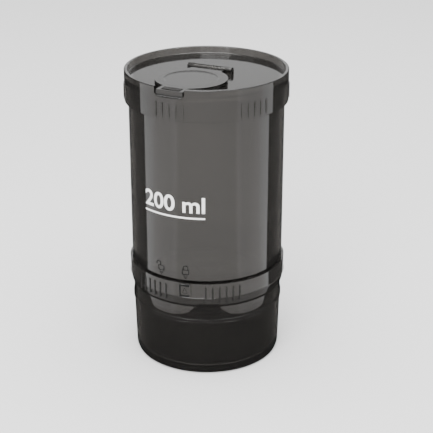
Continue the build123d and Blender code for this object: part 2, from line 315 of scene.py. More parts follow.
def block(name, low, high, edge=0.0, edge_steps=2):
    """Block between two corners, with its edges rounded if a size is given for them."""
    deselect()
    middle = (Vector(low) + Vector(high)) / 2
    bpy.ops.mesh.primitive_cube_add(size=1, location=middle)
    bpy.context.object.scale = Vector(high) - Vector(low)
    piece = settle(name)
    if edge:
        soften(piece, edge, edge_steps)
    return piece


def rod(name, radius, length, middle, edge=0.0):
    """Round bar along X."""
    deselect()
    bpy.ops.mesh.primitive_cylinder_add(
        vertices=ROD_STEPS, radius=radius, depth=length, location=middle, rotation=(0, pi / 2, 0)
    )
    piece = settle(name)
    if edge:
        soften(piece, edge, steps=2)
    return piece


def soften(piece, width, steps=3, angle=30.0):
    """Rounds the edges that turn by more than the angle."""
    bevel = add_modifier(piece, "BEVEL")
    bevel.width = width
    bevel.segments = steps
    bevel.limit_method = "ANGLE"
    bevel.angle_limit = radians(angle)
    apply_modifier(bevel)


def cut(piece, tool, operation="DIFFERENCE"):
    """Cuts the tool from the piece, or adds it, and removes the tool."""
    boolean = add_modifier(piece, "BOOLEAN")
    boolean.operation = operation
    boolean.solver = "EXACT"
    boolean.object = tool
    apply_modifier(boolean)
    bpy.data.objects.remove(tool)


def join(piece, others):
    """Makes one piece of several closed shells."""
    pick(piece, *others)
    bpy.ops.object.join()
    return piece


def smooth(piece, angle=35.0):
    """Smooth shading in which the large faces keep their own direction."""
    pick(piece)
    bpy.ops.object.shade_smooth_by_angle(angle=radians(angle))
    even = add_modifier(piece, "WEIGHTED_NORMAL")
    even.keep_sharp = True
    apply_modifier(even)


def turned_copies(piece, angles):
    """Copies with their own meshes, turned about the axis; the first piece is removed."""
    copies = []
    for angle in angles:
        pick(piece)
        bpy.ops.object.duplicate(linked=False)
        copies.append(bpy.context.object)
        turn(copies[-1], angle)
    bpy.data.objects.remove(piece)
    return copies


def sector(name, inner, outer, low, high, start, arc):
    """Part of a ring: its upright section is spun about the axis through an arc."""
    deselect()
    middle = ((inner + outer) / 2, 0, (low + high) / 2)
    bpy.ops.mesh.primitive_plane_add(size=1, location=middle, rotation=(pi / 2, 0, 0))
    bpy.context.object.scale = (outer - inner, high - low, 1)
    piece = settle(name)
    turn(piece, start)
    edit_all()
    steps = max(2, round(arc / SECTOR_STEP))
    bpy.ops.mesh.spin(steps=steps, angle=-radians(arc), center=(0, 0, 0), axis=(0, 0, 1))
    end_edit(weld=True)
    return piece


def front(angle):
    """Angle counted from the front towards +X, as an angle counted from +X."""
    return angle - 90.0


def wrap(piece, radius, angle):
    """Bends a piece drawn flat on the axis to the wall's radius and sets it on the wall."""
    bend = add_modifier(piece, "SIMPLE_DEFORM")
    bend.deform_method = "BEND"
    bend.deform_axis = "Z"
    bend.angle = piece.dimensions.x / radius
    apply_modifier(bend)
    set_out(piece, radius, angle)


def new_curve(name, thickness, roundness):
    """Empty curve whose lines get a thickness."""
    curve = bpy.data.curves.new(name, "CURVE")
    curve.dimensions = "3D"
    curve.bevel_depth = thickness / 2
    curve.bevel_resolution = roundness
    curve.use_fill_caps = True
    return curve


def curve_piece(name, curve):
    """Mesh piece made of a drawn curve."""
    drawn = bpy.data.objects.new(name, curve)
    bpy.context.collection.objects.link(drawn)
    pick(drawn)
    bpy.ops.object.convert(target="MESH")
    return settle(name)


def strokes(name, lines, thickness):
    """Moulded lines along flat points across and up, each line open or closed."""
    curve = new_curve(name, thickness, roundness=2)
    for points, closed in lines:
        spline = curve.splines.new("POLY")
        spline.points.add(len(points) - 1)
        for point, (across, up) in zip(spline.points, points):
            point.co = (across, 0, up, 1)
        spline.use_cyclic_u = closed
    return curve_piece(name, curve)


def arc_points(middle, radius, start, end, steps):
    """Points along an arc between two angles."""
    turns = [radians(start + (end - start) * step / steps) for step in range(steps + 1)]
    return [(middle[0] + radius * cos(turn), middle[1] + radius * sin(turn)) for turn in turns]


# Finishes

def set_inputs(node, values):
    for title, value in values.items():
        node.inputs[title].default_value = value


def new_node(nodes, kind, values):
    """Shader node with values on some of its inputs."""
    node = nodes.new(kind)
    set_inputs(node, values)
    return node


def new_group(name, inputs, outputs):
    """Empty shader group; inputs map each name to its kind and value, outputs to its kind."""
    group = bpy.data.node_groups.new(name, "ShaderNodeTree")
    for title, (kind, value) in inputs.items():
        socket = group.interface.new_socket(name=title, in_out="INPUT", socket_type=kind)
        socket.default_value = value
    for title, kind in outputs.items():
        group.interface.new_socket(name=title, in_out="OUTPUT", socket_type=kind)
    return group, group.nodes.new("NodeGroupInput"), group.nodes.new("NodeGroupOutput")


def moulded_skin():
    """Skin of a moulded part: faint flow clouds, fine grain and handling marks."""
    group, given, made = new_group(
        "moulded_skin",
        {
            "Color": ("NodeSocketColor", (0.1, 0.1, 0.1, 1)),
            "Cloud Color": ("NodeSocketColor", (0.1, 0.1, 0.1, 1)),
            "Roughness": ("NodeSocketFloat", 0.1),
            "Handled Roughness": ("NodeSocketFloat", 0.2),
            "Grain per Metre": ("NodeSocketFloat", 2500.0),
            "Grain Height": ("NodeSocketFloat", 0.000002),
        },
        {"Color": "NodeSocketColor", "Roughness": "NodeSocketFloat", "Normal": "NodeSocketVector"},
    )
    nodes, links = group.nodes, group.links
    place = nodes.new("ShaderNodeTexCoord")

    clouds = new_node(nodes, "ShaderNodeTexNoise", {"Scale": 38.0, "Detail": 3.0})
    links.new(place.outputs["Object"], clouds.inputs["Vector"])
    tint = nodes.new("ShaderNodeMix")
    tint.data_type = "RGBA"
    links.new(clouds.outputs["Fac"], tint.inputs["Factor"])
    links.new(given.outputs["Color"], tint.inputs["A"])
    links.new(given.outputs["Cloud Color"], tint.inputs["B"])
    links.new(tint.outputs["Result"], made.inputs["Color"])

    smears = new_node(nodes, "ShaderNodeTexNoise", {"Scale": 110.0, "Detail": 5.0, "Distortion": 1.2})
    links.new(place.outputs["Object"], smears.inputs["Vector"])
    handled = new_node(nodes, "ShaderNodeMapRange", {"From Min": 0.52, "From Max": 0.78})
    links.new(smears.outputs["Fac"], handled.inputs["Value"])
    links.new(given.outputs["Roughness"], handled.inputs["To Min"])
    links.new(given.outputs["Handled Roughness"], handled.inputs["To Max"])
    links.new(handled.outputs["Result"], made.inputs["Roughness"])

    grain = new_node(nodes, "ShaderNodeTexNoise", {"Detail": 2.0})
    links.new(place.outputs["Object"], grain.inputs["Vector"])
    links.new(given.outputs["Grain per Metre"], grain.inputs["Scale"])
    relief = nodes.new("ShaderNodeMath")
    relief.operation = "MULTIPLY"
    links.new(grain.outputs["Fac"], relief.inputs[0])
    links.new(given.outputs["Grain Height"], relief.inputs[1])
    bump = new_node(nodes, "ShaderNodeBump", {"Distance": 1.0})
    links.new(relief.outputs["Value"], bump.inputs["Height"])
    links.new(bump.outputs["Normal"], made.inputs["Normal"])
    return group


SKIN = moulded_skin()


def new_material(name, settings):
    """Material whose shader has fixed settings, and that shader."""
    made = bpy.data.materials.new(name)
    made.use_nodes = True
    shader = made.node_tree.nodes["Principled BSDF"]
    set_inputs(shader, settings)
    return made, shader


def moulded(name, settings, skin):
    """Material that takes its colour, roughness and relief from the shared skin."""
    made, shader = new_material(name, settings)
    covering = made.node_tree.nodes.new("ShaderNodeGroup")
    covering.node_tree = SKIN
    set_inputs(covering, skin)
    links = made.node_tree.links
    links.new(covering.outputs["Color"], shader.inputs["Base Color"])
    links.new(covering.outputs["Roughness"], shader.inputs["Roughness"])
    links.new(covering.outputs["Normal"], shader.inputs["Normal"])
    return made


# Glossy smoked plastic that lets a little light through its thin walls
SMOKED = moulded(
    "smoked_plastic",
    {"IOR": 1.50, "Transmission Weight": 0.90},
    {
        "Color": (0.074, 0.070, 0.066, 1),
        "Cloud Color": (0.082, 0.078, 0.073, 1),
        "Roughness": 0.07,
        "Handled Roughness": 0.12,
        "Grain Height": 0.0000006,
    },
)

# The same plastic painted nearly black and given weaker gloss on the collar's grip ribs: painted shade
# that stands for the shadowed sides of the raised ribs
SMOKED_PAINTED_SHADE = moulded(
    "smoked_plastic_painted_shade",
    {"IOR": 1.5, "Specular IOR Level": 0.28},
    {
        "Color": (0.006, 0.006, 0.006, 1),
        "Cloud Color": (0.009, 0.009, 0.009, 1),
        "Roughness": 0.16,
        "Handled Roughness": 0.22,
        "Grain Height": 0.0000006,
    },
)

# Matt black painted on the moulded marks: painted shade that stands for the shadowed edges of their
# raised lines
MARK_PAINTED_SHADE = moulded(
    "mark_painted_shade",
    {"IOR": 1.5, "Specular IOR Level": 0.08},
    {
        "Color": (0.006, 0.006, 0.006, 1),
        "Cloud Color": (0.010, 0.010, 0.010, 1),
        "Roughness": 0.35,
        "Handled Roughness": 0.5,
        "Grain Height": 0.000002,
    },
)

# Black satin plastic of the sieve frame and its ring
SIEVE_PLASTIC = moulded(
    "sieve_plastic",
    {"IOR": 1.5},
    {
        "Color": (0.018, 0.018, 0.019, 1),
        "Cloud Color": (0.024, 0.024, 0.025, 1),
        "Roughness": 0.38,
        "Handled Roughness": 0.5,
        "Grain Height": 0.000012,
    },
)

SEAL_RUBBER = moulded(
    "seal_rubber",
    {"IOR": 1.45},
    {
        "Color": (0.010, 0.010, 0.010, 1),
        "Cloud Color": (0.018, 0.018, 0.018, 1),
        "Roughness": 0.55,
        "Handled Roughness": 0.75,
        "Grain per Metre": 4000.0,
        "Grain Height": 0.00002,
    },
)

WIRE_STEEL = moulded(
    "wire_steel",
    {"Metallic": 1.0},
    {
        "Color": (0.56, 0.56, 0.55, 1),
        "Cloud Color": (0.46, 0.46, 0.46, 1),
        "Roughness": 0.22,
        "Handled Roughness": 0.36,
        "Grain Height": 0.000002,
    },
)

PRINT_INK = moulded(
    "print_ink",
    {"IOR": 1.5},
    {
        "Color": (0.90, 0.90, 0.89, 1),
        "Cloud Color": (0.84, 0.84, 0.83, 1),
        "Roughness": 0.35,
        "Handled Roughness": 0.5,
        "Grain Height": 0.000004,
    },
)


def dress(piece, finish, body, node=None):
    """Gives a finished piece its material and its body, and hides the solid that it stands for."""
    piece.data.materials.clear()
    piece.data.materials.append(finish)
    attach(piece, body)
    if node:
        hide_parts(node)


# Powder cup

def powder_cup():
    band = CUP_RADIUS + BAND_PROUD
    groove = CUP_RADIUS + GROOVE_PROUD
    bead = CUP_RADIUS + BEAD_PROUD
    outline = [
        (FOOT_INNER_RADIUS, FOOT_HEIGHT),
        (FOOT_INNER_RADIUS + FOOT_HEIGHT, 0),
        (CUP_BASE_RADIUS - FOOT_ROUND, 0),
        (CUP_BASE_RADIUS - FOOT_ROUND_MIDDLE, FOOT_ROUND_MIDDLE),
        (CUP_BASE_RADIUS + FOOT_ROUND_DRAFT, FOOT_ROUND_TOP),
        (CUP_RADIUS, BAND_BOTTOM),
        (band, BAND_BOTTOM + 2 * BAND_SLOPE),
        (band, BAND_BOTTOM + BAND_LIP - BAND_SLOPE),
        (groove, BAND_BOTTOM + BAND_LIP),
        (groove, BAND_TOP - BAND_LIP),
        (band, BAND_TOP - BAND_LIP + BAND_SLOPE),
        (band, BAND_TOP - BAND_SLOPE),
        (CUP_RADIUS, BAND_TOP),
        (CUP_RADIUS, BEAD_BOTTOM),
        (bead, BEAD_BOTTOM + BEAD_SLOPE),
        (bead, BEAD_TOP - BEAD_SLOPE),
        (CUP_RADIUS, BEAD_TOP),
        (CUP_RADIUS, CUP_HEIGHT),
        (CUP_BORE, CUP_HEIGHT),
        (CUP_BORE, CUP_BORE_BOTTOM),
        (CUP_BASE_BORE, FLOOR_TOP + FLOOR_ROUND),
        (CUP_BASE_BORE - FLOOR_ROUND_MIDDLE, FLOOR_TOP + FLOOR_ROUND_MIDDLE),
        (CUP_BASE_BORE - FLOOR_ROUND, FLOOR_TOP),
    ]
    cup = turned_solid("cup_shell", outline)
    soften(cup, width=0.1 * MM, angle=20)
    smooth(cup)
    dress(cup, SMOKED, "vessel", "powder_cup")


# Locking collar

def rib_row(wall_radius, bottom, length, angles):
    """Upright grip ribs with rounded edges and deep roots, at angles counted from the front."""
    low = (wall_radius - RIB_ROOT, -RIB_WIDTH / 2, bottom)
    high = (wall_radius + RIB_PROUD, RIB_WIDTH / 2, bottom + length)
    first = block("grip_rib", low, high, edge=RIB_EDGE, edge_steps=3)
    return turned_copies(first, [front(angle) for angle in angles])


def lug_angles():
    """Middle angle of each bayonet lug, counted from the front."""
    return [LOCK_ANGLE + lug * 360 / LUG_COUNT for lug in range(LUG_COUNT)]


def locking_collar():
    """Collar with a tab and grip ribs; a fine raised line marks where its taper begins."""
    lower_radius = COLLAR_RADIUS - COLLAR_TAPER
    line_radius = COLLAR_RADIUS + LINE_PROUD
    outline = [
        (COLLAR_BORE, COLLAR_BOTTOM),
        (lower_radius - COLLAR_EDGE, COLLAR_BOTTOM),
        (lower_radius, COLLAR_BOTTOM + COLLAR_EDGE_HEIGHT),
        (COLLAR_RADIUS, COLLAR_BREAK - LINE_WIDTH),
        (line_radius, COLLAR_BREAK),
        (line_radius, COLLAR_BREAK + LINE_WIDTH),
        (COLLAR_RADIUS, COLLAR_BREAK + LINE_FADE),
        (COLLAR_RADIUS, COLLAR_TOP),
        (COLLAR_BORE, COLLAR_TOP),
        (COLLAR_BORE, BEAD_TOP + AXIAL_GAP),
        (COLLAR_BORE + BEAD_PROUD, BEAD_TOP + AXIAL_GAP),
        (COLLAR_BORE + BEAD_PROUD, BEAD_BOTTOM - AXIAL_GAP),
        (COLLAR_BORE, BEAD_BOTTOM - AXIAL_GAP),
    ]
    collar = turned_ring("collar_ring", outline)
    soften(collar, width=0.2 * MM, angle=11)
    angles = []
    for middle in (LOCK_ANGLE, LOCK_ANGLE + 180):
        for rib in range(RIBS_PER_SIDE):
            away = FIRST_RIB + rib * RIB_PITCH
            angles += [middle - away, middle + away]
    ribs = rib_row(COLLAR_RADIUS, RIB_BOTTOM, RIB_LENGTH, angles)
    grip = join(ribs[0], ribs[1:])
    rename(grip, "collar_ribs")
    smooth(grip)
    # The collar's ribs take the painted shade material, so they show as dark lines; the lid's ribs keep
    # the plain plastic
    dress(grip, SMOKED_PAINTED_SHADE, "collar")
    low = (COLLAR_RADIUS - SUNK, -POINTER_WIDTH / 2, POINTER_BOTTOM)
    high = (COLLAR_RADIUS + POINTER_PROUD, POINTER_WIDTH / 2, POINTER_TOP)
    tab = block("pointer_tab", low, high, edge=0.3 * MM, edge_steps=3)
    extras = turned_copies(tab, [front(LOCK_ANGLE)])
    root, tip = COLLAR_BORE + SUNK, SPIGOT_RADIUS + RUNNING_GAP
    for middle in lug_angles():
        start = front(middle) - LUG_ARC / 2
        extras.append(sector("segment", tip, root, SEGMENT_BOTTOM, SEGMENT_TOP, start, LUG_ARC))
    join(collar, extras)
    smooth(collar)
    dress(collar, SMOKED, "collar", "locking_collar")


# Chamber

def chamber():
    """Tube for the insects with its spigot, and on the spigot lugs with stops beside them."""
    outline = [
        (SPIGOT_BORE, SPIGOT_BOTTOM),
        (SPIGOT_RADIUS, SPIGOT_BOTTOM),
        (SPIGOT_RADIUS, SEAL_BOTTOM),
        (SPIGOT_RADIUS - SEAL_DEPTH, SEAL_BOTTOM),
        (SPIGOT_RADIUS - SEAL_DEPTH, SEAL_TOP),
        (SPIGOT_RADIUS, SEAL_TOP),
        (SPIGOT_RADIUS, TUBE_BOTTOM),
        (TUBE_RADIUS - TUBE_EDGE, TUBE_BOTTOM),
        (TUBE_RADIUS, TUBE_BOTTOM + TUBE_EDGE_HEIGHT),
        (TUBE_RADIUS, TUBE_TOP),
        (TUBE_BORE, TUBE_TOP),
        (TUBE_BORE, THROAT_TOP),
        (SPIGOT_BORE, TUBE_BOTTOM),
    ]
    tube = turned_ring("tube_shell", outline)
    soften(tube, width=0.35 * MM, angle=25)
    extras = []
    root, tip = SPIGOT_RADIUS - SUNK, COLLAR_BORE - RUNNING_GAP
    for middle in lug_angles():
        start = front(middle) - LUG_ARC / 2
        extras.append(sector("lug", root, tip, CUP_HEIGHT, LUG_TOP, start, LUG_ARC))
        locked = front(middle) + LUG_ARC / 2 + STOP_PLAY
        opened = front(middle) - TWIST_ANGLE - LUG_ARC / 2 - STOP_PLAY - STOP_ARC
        for start in (locked, opened):
            extras.append(sector("stop", root, tip, LUG_TOP, SEGMENT_TOP, start, STOP_ARC))
    join(tube, extras)
    smooth(tube)
    dress(tube, SMOKED, "vessel", "chamber")


# Seals

def ring_seal(name, inner, outer, bottom, top, body, node):
    """Round rubber ring, squeezed to the space between its groove and the wall."""
    deselect()
    bpy.ops.mesh.primitive_torus_add(
        major_radius=(inner + outer) / 2,
        minor_radius=(outer - inner) / 2,
        major_segments=144,
        minor_segments=20,
        location=(0, 0, (bottom + top) / 2),
    )
    bpy.context.object.scale = (1, 1, (top - bottom) / (outer - inner))
    ring = settle(name)
    smooth(ring, angle=60)
    dress(ring, SEAL_RUBBER, body, node)


# Sieve cloth

WIRE_THICKNESS = 0.28 * MM
WIRE_PITCH = 1.5 * MM
WIRE_SWAY = 0.21 * MM
CLOTH_RADIUS = 33.1 * MM
CLOTH_HEIGHT = 38.3 * MM


def sieve_cloth():
    """Woven wire cloth: each wire passes over and under the wires that cross it."""
    rows = int(CLOTH_RADIUS / WIRE_PITCH)
    curve = new_curve("sieve_cloth", WIRE_THICKNESS, roundness=0)
    curve.resolution_u = 2
    for way in (0, 1):
        for row in range(-rows, rows + 1):
            aside = row * WIRE_PITCH
            crossings = int(sqrt(CLOTH_RADIUS**2 - aside**2) / WIRE_PITCH)
            if crossings < 1:
                continue
            spline = curve.splines.new("NURBS")
            spline.points.add(2 * crossings)
            for point, step in zip(spline.points, range(-crossings, crossings + 1)):
                over = 1 if (row + step + way) % 2 else -1
                along = step * WIRE_PITCH
                x, y = (along, aside) if way == 0 else (aside, along)
                point.co = (x, y, CLOTH_HEIGHT + over * WIRE_SWAY, 1)
            spline.order_u = 3
            spline.use_endpoint_u = True
    cloth = curve_piece("sieve_cloth", curve)
    smooth(cloth, angle=60)
    dress(cloth, WIRE_STEEL, "vessel", "sieve_mesh")


# Lid

def lid():
    """Cap with a plug ring, a rim, the dosing opening, a notch for the flap's tab and ears."""
    outline = [
        (PLUG_BORE, DECK_BOTTOM),
        (PLUG_BORE, PLUG_BOTTOM),
        (PLUG_RADIUS, PLUG_BOTTOM),
        (PLUG_RADIUS, LID_SEAL_BOTTOM),
        (PLUG_RADIUS - SEAL_DEPTH, LID_SEAL_BOTTOM),
        (PLUG_RADIUS - SEAL_DEPTH, LID_SEAL_TOP),
        (PLUG_RADIUS, LID_SEAL_TOP),
        (PLUG_RADIUS, DECK_BOTTOM),
        (SKIRT_BORE, DECK_BOTTOM),
        (SKIRT_BORE, SKIRT_BOTTOM),
        (LID_RADIUS, SKIRT_BOTTOM),
        (LID_RADIUS, TOTAL_HEIGHT),
        (RIM_BORE, TOTAL_HEIGHT),
        (RIM_BORE, DECK_TOP),
    ]
    cap = turned_solid("lid_cap", outline)
    soften(cap, width=0.4 * MM, steps=4, angle=40)
    flared = OPENING_RADIUS + 2 * OPENING_EDGE
    opening = [
        (flared, DECK_BOTTOM - OPENING_EDGE),
        (OPENING_RADIUS, DECK_BOTTOM + OPENING_EDGE),
        (OPENING_RADIUS, DECK_TOP - OPENING_EDGE),
        (flared, DECK_TOP + OPENING_EDGE),
    ]
    hole = turned_solid("opening_tool", opening, OPENING_STEPS)
    hole.location.y = FLAP_CENTRE
    cut(cap, hole)
    half = TAB_WIDTH / 2 + NOTCH_GAP
    inner = sqrt(RIM_BORE**2 - half**2) - NOTCH_GAP
    low = (-half, -LID_RADIUS - OVERCUT, DECK_TOP)
    high = (half, -inner, TOTAL_HEIGHT + OVERCUT)
    cut(cap, block("notch_tool", low, high))
    cut(cap, rod("scoop_tool", SCOOP_RADIUS, TAB_WIDTH, (0, -LID_RADIUS, DECK_TOP)))
    spread = (LID_RIBS_PER_GROUP - 1) / 2
    angles = [
        group * 360 / LID_RIB_GROUPS + (rib - spread) * RIB_PITCH
        for group in range(LID_RIB_GROUPS)
        for rib in range(LID_RIBS_PER_GROUP)
    ]
    ribs = rib_row(LID_RADIUS, LID_RIB_BOTTOM, LID_RIB_LENGTH, angles)
    ears = [hinge_ear(side) for side in (-1, 1)]
    join(cap, ribs + ears)
    smooth(cap)
    dress(cap, SMOKED, "lid", "lid")


def hinge_ear(side):
    """Ear with a round top that holds one end of the pin."""
    middle = side * (EAR_INNER + EAR_WIDTH / 2)
    ear = rod("hinge_ear", BARREL_RADIUS, EAR_WIDTH, (middle, HINGE_Y, HINGE_Z))
    low = (middle - EAR_WIDTH / 2, HINGE_Y - BARREL_RADIUS, DECK_TOP - SUNK)
    high = (middle + EAR_WIDTH / 2, HINGE_Y + BARREL_RADIUS, HINGE_Z)
    cut(ear, block("ear_foot", low, high), "UNION")
    cut(ear, rod("bore_tool", PIN_RADIUS + PIN_PLAY, 2 * EAR_WIDTH, (middle, HINGE_Y, HINGE_Z)))
    return ear


# Dosing flap

def dosing_flap():
    """Round plate with an arm to its hinge, a lift tab, a finger dish and a plug ring."""
    outline = [(FLAP_RADIUS, FLAP_BOTTOM), (FLAP_RADIUS, FLAP_TOP)]
    plate = turned_solid("flap_plate", outline, FLAP_STEPS)
    plate.location.y = FLAP_CENTRE
    low = (-BARREL_LENGTH / 2, FLAP_CENTRE, FLAP_BOTTOM)
    high = (BARREL_LENGTH / 2, HINGE_Y, FLAP_TOP)
    cut(plate, block("arm_tool", low, high), "UNION")
    low = (-TAB_WIDTH / 2, -TAB_REACH, FLAP_BOTTOM)
    high = (TAB_WIDTH / 2, FLAP_CENTRE, FLAP_TOP)
    cut(plate, block("tab_tool", low, high), "UNION")
    apply_place(plate)
    outline = [
        (DISH_RADIUS - DISH_SLOPE, FLAP_TOP - DISH_DEPTH),
        (DISH_RADIUS, FLAP_TOP),
        (DISH_RADIUS + DISH_SLOPE, FLAP_TOP + DISH_DEPTH),
    ]
    dish = turned_solid("dish_tool", outline, FLAP_STEPS)
    dish.location.y = FLAP_CENTRE
    cut(plate, dish)
    soften(plate, width=0.5 * MM, steps=4, angle=40)
    ridges = []
    for row in range(TAB_RIDGES):
        middle = -TAB_REACH + FIRST_RIDGE + row * RIDGE_PITCH
        low = (-TAB_WIDTH / 2 + RIDGE_INSET, middle - RIDGE_SIZE, FLAP_TOP - SUNK)
        high = (TAB_WIDTH / 2 - RIDGE_INSET, middle + RIDGE_SIZE, FLAP_TOP + RIDGE_SIZE)
        ridges.append(block("tab_ridge", low, high, edge=0.25 * MM, edge_steps=3))
    outline = [
        (FLAP_PLUG_RADIUS - FLAP_PLUG_WALL, FLAP_BOTTOM - FLAP_PLUG_DEPTH),
        (FLAP_PLUG_RADIUS, FLAP_BOTTOM - FLAP_PLUG_DEPTH),
        (FLAP_PLUG_RADIUS, FLAP_BOTTOM + SUNK),
        (FLAP_PLUG_RADIUS - FLAP_PLUG_WALL, FLAP_BOTTOM + SUNK),
    ]
    plug = turned_ring("plug_ring", outline, OPENING_STEPS)
    plug.location.y = FLAP_CENTRE
    apply_place(plug)
    soften(plug, width=0.3 * MM, angle=40)
    barrel = rod("barrel", BARREL_RADIUS, BARREL_LENGTH, (0, HINGE_Y, HINGE_Z), edge=0.2 * MM)
    join(plate, [plug, barrel, *ridges])
    smooth(plate)
    dress(plate, SMOKED, "flap", "dosing_flap")


# Moulded marks: an open and a closed padlock on the tube, and the mark on the collar's tab

MARK_LINE = 0.5 * MM
LOCK_WIDTH = 3.4 * MM
LOCK_CORNER = 0.5 * MM
LOCK_BOTTOM = 57.1 * MM
LOCK_BODY_TOP = 59.6 * MM
LOCK_SWING = 1.5 * MM
SHACKLE_RADIUS = 1.2 * MM
SHACKLE_RISE = 1.1 * MM
SHACKLE_TIP = 0.4 * MM
TIP_HEIGHT = 54.8 * MM
TIP_TOP = 56.2 * MM
TIP_WIDTH = 1.9 * MM
TAB_ARROW_BOTTOM = POINTER_BOTTOM + 2.1 * MM
TAB_ARROW_TOP = POINTER_TOP - 2.0 * MM
TAB_ARROW_WIDTH = 2.6 * MM
TAB_ARROW_LINE = 1.1 * MM
BRACKET_INSET = 0.65 * MM
BRACKET_LINE = 1.5 * MM
TAB_MARK_SUNK = 0.45 * MM


def padlock(name, opened):
    """Padlock over a small arrow that points down at the collar."""
    half = LOCK_WIDTH / 2
    body = [
        (-half, LOCK_BOTTOM + LOCK_CORNER),
        (-half + LOCK_CORNER, LOCK_BOTTOM),
        (half - LOCK_CORNER, LOCK_BOTTOM),
        (half, LOCK_BOTTOM + LOCK_CORNER),
        (half, LOCK_BODY_TOP),
        (-half, LOCK_BODY_TOP),
    ]
    swing = -LOCK_SWING if opened else 0
    spring = LOCK_BODY_TOP + SHACKLE_RISE
    shackle = arc_points((swing, spring), SHACKLE_RADIUS, start=180, end=0, steps=10)
    first_foot = (swing - SHACKLE_RADIUS, spring - SHACKLE_TIP if opened else LOCK_BODY_TOP)
    last_foot = (swing + SHACKLE_RADIUS, LOCK_BODY_TOP)
    arrow = [(0, TIP_HEIGHT), (TIP_WIDTH / 2, TIP_TOP), (-TIP_WIDTH / 2, TIP_TOP)]
    lines = [(body, True), ([first_foot, *shackle, last_foot], False), (arrow, True)]
    mark = strokes(name, lines, MARK_LINE)
    wrap(mark, TUBE_RADIUS, LOCK_ANGLE - TWIST_ANGLE if opened else LOCK_ANGLE)
    smooth(mark, angle=60)
    # Painted black: painted shade of the raised padlock lines
    dress(mark, MARK_PAINTED_SHADE, "vessel")


def tab_arrow():
    """Raised bracket and arrow on the collar's flat tab."""
    half = TAB_ARROW_WIDTH / 2
    arrow = [(0, TAB_ARROW_TOP), (half, TAB_ARROW_BOTTOM), (-half, TAB_ARROW_BOTTOM)]
    side = POINTER_WIDTH / 2 - BRACKET_INSET
    bottom, top = POINTER_BOTTOM + BRACKET_INSET, POINTER_TOP - BRACKET_INSET
    bracket = [(side, bottom), (-side, bottom), (-side, top), (side, top)]
    inner = strokes("tab_arrow", [(arrow, True)], TAB_ARROW_LINE)
    mark = join(strokes("tab_bracket", [(bracket, False)], BRACKET_LINE), [inner])
    rename(mark, "tab_mark")
    set_out(mark, COLLAR_RADIUS + POINTER_PROUD - TAB_MARK_SUNK, LOCK_ANGLE)
    smooth(mark, angle=60)
    # Painted black: painted shade of the raised bracket and arrow on the tab
    dress(mark, MARK_PAINTED_SHADE, "collar")


# Printed level mark

PRINT_BOTTOM = 90.6 * MM
PRINT_HEIGHT = 8.6 * MM
PRINT_WIDTH = 34.0 * MM
PRINT_THICKNESS = 0.06 * MM
LEVEL_LINE = 88.0 * MM
LEVEL_LINE_WIDTH = 0.9 * MM
FIGURE_CUTS = 4
LEVEL_LINE_CUTS = 24


def level_print():
    """White volume mark: figures over a level line."""
    deselect()
    bpy.ops.object.text_add(rotation=(pi / 2, 0, 0))
    text = bpy.context.object
    text.data.body = "200 ml"
    text.data.align_x = "CENTER"
    text.data.offset = 0.02
    text.data.resolution_u = 6
    bpy.ops.object.convert(target="MESH")
    figures = settle("level_print")
    across = [vertex.co.x for vertex in figures.data.vertices]
    up = [vertex.co.z for vertex in figures.data.vertices]
    wider = PRINT_WIDTH / figures.dimensions.x
    taller = PRINT_HEIGHT / figures.dimensions.z
    figures.scale = (wider, 1, taller)
    figures.location.x = -(max(across) + min(across)) / 2 * wider
    figures.location.z = PRINT_BOTTOM - min(up) * taller
    apply_place(figures)
    bpy.ops.mesh.primitive_plane_add(size=1, location=(0, 0, LEVEL_LINE), rotation=(pi / 2, 0, 0))
    bpy.context.object.scale = (PRINT_WIDTH, LEVEL_LINE_WIDTH, 1)
    line = settle("level_line")
    for flat, cuts in ((line, LEVEL_LINE_CUTS), (figures, FIGURE_CUTS)):
        pick(flat)
        edit_all()
        bpy.ops.mesh.quads_convert_to_tris()
        bpy.ops.mesh.subdivide(number_cuts=cuts)
        bpy.ops.object.mode_set(mode="OBJECT")
    join(figures, [line])
    ink = add_modifier(figures, "SOLIDIFY")
    ink.thickness = PRINT_THICKNESS
    ink.offset = 0
    apply_modifier(ink)
    wrap(figures, TUBE_RADIUS, 0)
    dress(figures, PRINT_INK, "vessel")


powder_cup()
locking_collar()
chamber()
lid()
dosing_flap()
padlock("closed_padlock", False)
padlock("open_padlock", True)
tab_arrow()
level_print()
sieve_cloth()
ring_seal(
    "cup_ring_seal",
    SPIGOT_RADIUS - SEAL_DEPTH,
    CUP_BORE,
    SEAL_BOTTOM,
    SEAL_TOP,
    "vessel",
    "cup_seal",
)
ring_seal(
    "lid_ring_seal",
    PLUG_RADIUS - SEAL_DEPTH,
    TUBE_BORE - LID_SEAL_SQUEEZE,
    LID_SEAL_BOTTOM,
    LID_SEAL_TOP,
    "lid",
    "lid_seal",
)

for node, finish in (
    ("sieve_frame", SIEVE_PLASTIC),
    ("sieve_ring", SIEVE_PLASTIC),
    ("hinge_pin", WIRE_STEEL),
    ("flap_seal", SEAL_RUBBER),
):
    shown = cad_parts[node]
    shown.data.materials.clear()
    shown.data.materials.append(finish)


# Floor, cards, light and camera

# The photograph's view, its width in pixels, its scale at the object and the object's middle
VIEW_AZIMUTH = 26.0
VIEW_ELEVATION = 22.5
VIEW_DISTANCE = 0.63
FRAME_PIXELS = 433.0
PIXELS_PER_METRE = 1905.0
OBJECT_PIXEL = (207.0, 209.0)
SENSOR = 36.0

FLOOR_SIZE = 12
FLOOR_TONE = (0.82, 0.82, 0.82, 1)
AIR_STRENGTH = 1.1
TOP_LIGHT = {"place": (0.1, -0.2, 1.3), "size": (1.6, 1.6), "power": 36}
FRONT_LIGHT = {"place": (0.3, -1.3, 0.9), "size": (1.2, 0.8), "power": 24}

CARD_BLACK = (0.02, 0.02, 0.02, 1)
CARD_BOTTOM = 0.5 * MM

